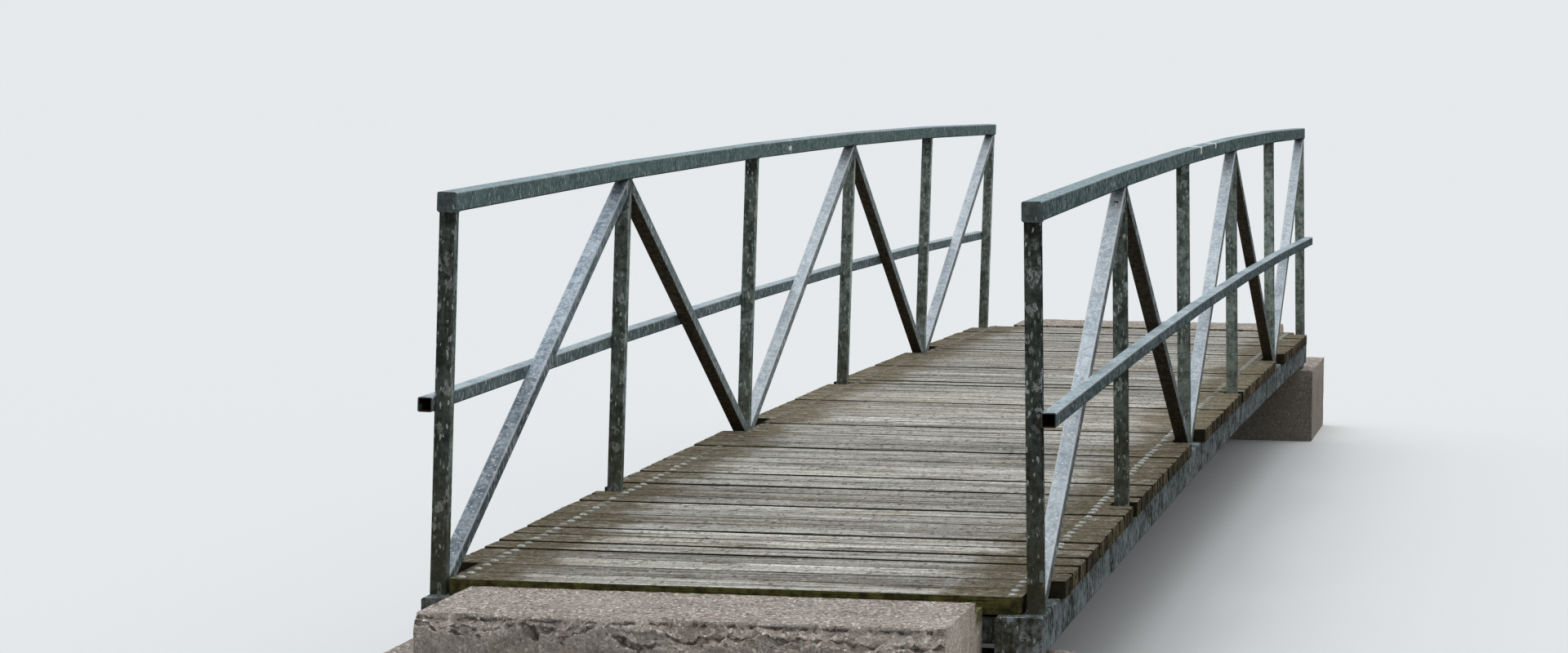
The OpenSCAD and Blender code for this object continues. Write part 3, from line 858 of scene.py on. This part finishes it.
def bead(bm, points, radius, rng, closed=False):
    """A small uneven weld bead along a line of points."""
    sides = 6
    rings = []
    count = len(points)
    for n, p in enumerate(points):
        after = points[(n + 1) % count] if closed or n < count - 1 else points[n]
        before = points[n - 1] if closed or n > 0 else points[n]
        along = (after - before).normalized()
        u = along.orthogonal().normalized()
        w = along.cross(u)
        r = radius * (0.8 + 0.4 * rng.random())
        rings.append([bm.verts.new(p + (u * math.cos(t) + w * math.sin(t)) * r)
                      for t in (math.pi * 2 * m / sides for m in range(sides))])
    pairs = list(zip(rings, rings[1:]))
    if closed:
        pairs.append((rings[-1], rings[0]))
    for a, b in pairs:
        best = min(range(sides), key=lambda s: (a[0].co - b[s].co).length)
        for m in range(sides):
            bm.faces.new((a[m], a[(m + 1) % sides], b[(m + 1 + best) % sides],
                          b[(m + best) % sides]))
    if not closed:
        bm.faces.new(list(reversed(rings[0])))
        bm.faces.new(rings[-1])


def make_welds(material):
    """Beads around the posts' heads, and above and below the mid rails where they meet the
    posts."""
    rng = random.Random(5)
    head_bead, rail_bead, sunk = 0.0028, 0.0024, 0.0005
    around, post_face, half_line = 0.0255, 0.9215, 0.021
    for side, name in ((1, "left"), (-1, "right")):
        bm = bmesh.new()
        for j in range(1, BAYS + 2):
            low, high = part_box(f"post_{name}_{j}")
            z = high.z - 0.001
            y_mid = side * (min(abs(low.y), abs(high.y)) + POST / 2)
            x_mid = (low.x + high.x) / 2
            loop = []
            for cx, cy, dx, dy in ((-1, -1, 1, 0), (1, -1, 0, 1), (1, 1, -1, 0), (-1, 1, 0, -1)):
                for t in range(6):
                    loop.append(Vector((x_mid + (cx + dx * t / 3) * around,
                                        y_mid + (cy + dy * t / 3) * around, z)))
            bead(bm, loop, head_bead, rng, closed=True)
            rail_top = DECK + post_rise(j - 1) + MID_RAIL_TOP
            for z in (rail_top - sunk, rail_top - MID_RAIL + sunk):
                line = [Vector((x_mid - half_line + 2 * half_line * t / 8, side * post_face, z))
                        for t in range(9)]
                bead(bm, line, rail_bead, rng)
        bmesh.ops.recalc_face_normals(bm, faces=bm.faces)
        piece(f"welds_{name}", bm, material, "side_frame_steel")


def make_runs(material):
    """Pale runs across the handrails near mid-span, over the top and down the outer face on
    the right, and down the inner face on the left."""
    rng = random.Random(9)
    half = 0.0302
    # Each run's side, place along the bridge, width, whether it crosses the top, and length down
    marks = ((-1, -0.700, 0.036, True, 0.030), (-1, 0.010, 0.034, True, 0.024),
             (1, -0.505, 0.042, False, 0.045))
    for n, (side, x, width, over, down) in enumerate(marks):
        centre = Vector((0, side * HANDRAIL_Y, deck_z(x) + HANDRAIL_MIDDLE))
        # The path in the section: across the top, round the corner and down a face
        path = []
        if over:
            path += [(-0.022 + 0.046 * t / 6, half) for t in range(6)]
        path += [(0.0262, half - 0.0003), (0.0288, half - 0.0016), (half - 0.0002, half - 0.0050)]
        path += [(half, half - 0.006 - (down - 0.006) * t / 6) for t in range(1, 7)]
        bm = bmesh.new()
        rows = []
        for k, (across, up) in enumerate(path):
            tip = k in (0, len(path) - 1)
            wide = width * (0.75 + 0.5 * rng.random()) * (0.6 if tip else 1.0)
            if up > half - 0.001:
                wide *= 1.8
            # The runs go down the faces towards -Y, away from the deck on the right
            turn = -side * LEAN
            y = -across * math.cos(turn) - up * math.sin(turn)
            z = -across * math.sin(turn) + up * math.cos(turn)
            row = []
            for s, lift in ((-1, 0.0), (-0.6, 0.0004), (0, 0.0006), (0.6, 0.0004), (1, 0.0)):
                grow = 1 + lift / half
                row.append(bm.verts.new((x + s * wide, centre.y + y * grow,
                                         min(centre.z + z * grow, cad_box[1][2]))))
            rows.append(row)
        for a, b in zip(rows, rows[1:]):
            for m in range(len(a) - 1):
                bm.faces.new((a[m], a[m + 1], b[m + 1], b[m]))
        bmesh.ops.recalc_face_normals(bm, faces=bm.faces)
        piece(f"handrail_run_{n + 1}", bm, material, "side_frame_steel")


def dress():
    """The CAD nodes that keep their shape get their materials."""
    rail = steel("handrail_steel", (121, 139, 145), (158, 177, 182), (210, 216, 218),
                 flecks=0.88, spangle=0.22, along=(1.0, 1.0, 0.3), side=0.49, side_left=0.64,
                 tint=(0.90, 1.0, 0.92), front=0.72, front_brown_shade=0.45, under=0.85, edges=0.3)
    post = steel("post_steel", (56, 63, 59), (104, 114, 110), (216, 223, 221), flecks=0.94,
                 patches=0.65, spangle=0.3, stain=0.45, along=(1, 1, 0.1), side=0.6,
                 side_left=1.7, front_brown_shade=0.25, far=((0.83, 1.02), (4.6, 2.8)), heads=0.55)
    brace = steel("brace_steel", (180, 193, 203), (218, 227, 233), (244, 247, 248), flecks=0.90,
                  fleck_size=120, patches=0.3, spangle=0.25, stain=0.12, along=(0.5, 1, 0.5),
                  side=0.32, side_left=0.44, tint=(0.94, 1.0, 0.96), under=0.98, edges=0.6,
                  heads=0.55, vent=True)
    dull = steel("brace_steel_dull", (127, 141, 154), (184, 196, 206), (222, 228, 232),
                 flecks=0.88, fleck_size=120, patches=0.45, spangle=0.3, stain=0.15,
                 along=(0.5, 1, 0.5), side=0.5, tint=(0.94, 1.0, 0.97), under=0.98, edges=0.5,
                 heads=0.55, fade=(-5.1, -4.35, 0.78, 1.32))
    mid = steel("mid_rail_steel", (144, 160, 168), (190, 205, 212), (216, 221, 223),
                flecks=0.88, spangle=0.22, along=(1, 1, 0.3), side=0.30, side_left=0.40,
                tint=(0.91, 1.0, 0.96), front=0.4, front_brown_shade=0.5, under=0.88, edges=0.4, bore=True)
    floor_steel = steel("floor_frame_steel", (60, 57, 46), (143, 154, 157), (186, 196, 200),
                        flecks=0.94, patches=0.7, spangle=0.4, along=(1, 1, 0.06), under=0.7,
                        front_brown_shade=0.4)
    # The first match counts, so the single dull brace comes before the others
    looks = (("handrail", rail), ("post", post), ("brace_left_1", dull), ("brace", brace),
             ("mid_rail", mid), ("girder", floor_steel), ("cross_beam", floor_steel))
    for name, node in NODES.items():
        chosen = next((look for start, look in looks if name.startswith(start)), None)
        if chosen:
            node.data.materials.clear()
            node.data.materials.append(chosen)


# Light and floor


def make_light():
    sun = bpy.data.lights.new("sun", "SUN")
    sun.energy = SUN_STRENGTH
    sun.angle = SUN_ANGLE
    made = bpy.data.objects.new("sun", sun)
    made.rotation_euler = SUN_FROM.normalized().to_track_quat("Z", "Y").to_euler()
    bpy.context.scene.collection.objects.link(made)

    world = bpy.data.worlds.new("world")
    world.use_nodes = True
    tree = world.node_tree
    out = tree.nodes["World Output"]
    soft = tree.nodes["Background"]
    position = tree.nodes.new("ShaderNodeTexCoord")
    parts = tree.nodes.new("ShaderNodeSeparateXYZ")
    tree.links.new(position.outputs["Generated"], parts.inputs[0])
    height = math_node(tree, "MAXIMUM", parts.outputs["Z"], 0.0)
    sky = math_node(tree, "ADD", math_node(tree, "MULTIPLY", height, SKY_RISE), SKY_LOW)
    ahead = math_node(tree, "MULTIPLY", parts.outputs["X"], SKY_AHEAD)
    strength = math_node(tree, "MULTIPLY", sky, math_node(tree, "ADD", ahead, 1.0))
    tree.links.new(strength, soft.inputs["Strength"])
    soft.inputs["Color"].default_value = SKY_COLOUR
    pale = tree.nodes.new("ShaderNodeBackground")
    pale.inputs["Color"].default_value = BACKDROP
    choose = tree.nodes.new("ShaderNodeMixShader")
    tree.links.new(seen_directly(tree), choose.inputs[0])
    tree.links.new(soft.outputs[0], choose.inputs[1])
    tree.links.new(pale.outputs[0], choose.inputs[2])
    tree.links.new(choose.outputs[0], out.inputs["Surface"])
    bpy.context.scene.world = world
    bpy.context.scene.view_settings.view_transform = "Standard"


def make_floor():
    mesh = bpy.data.meshes.new("floor")
    s = FLOOR_REACH
    mesh.from_pydata([(-s, -s, 0), (s, -s, 0), (s, s, 0), (-s, s, 0)], [], [(0, 1, 2, 3)])
    floor = bpy.data.objects.new("floor", mesh)
    bpy.context.scene.collection.objects.link(floor)
    look = Look("floor", roughness=0.9, specular=0.0)
    colour = look.mix(seen_directly(look.tree), FLOOR_BOUNCE, FLOOR_SEEN)
    mesh.materials.append(look.finish(colour))


make_camera()
make_light()
make_floor()
dress()
planks = plank_settings()
make_planks(timber(), planks)
make_bolts(bolt_steel(), planks)
stone = concrete()
make_abutment("abutment_near", -1, stone)
make_abutment("abutment_far", 1, stone)
make_welds(weld_steel())
make_runs(zinc_run())
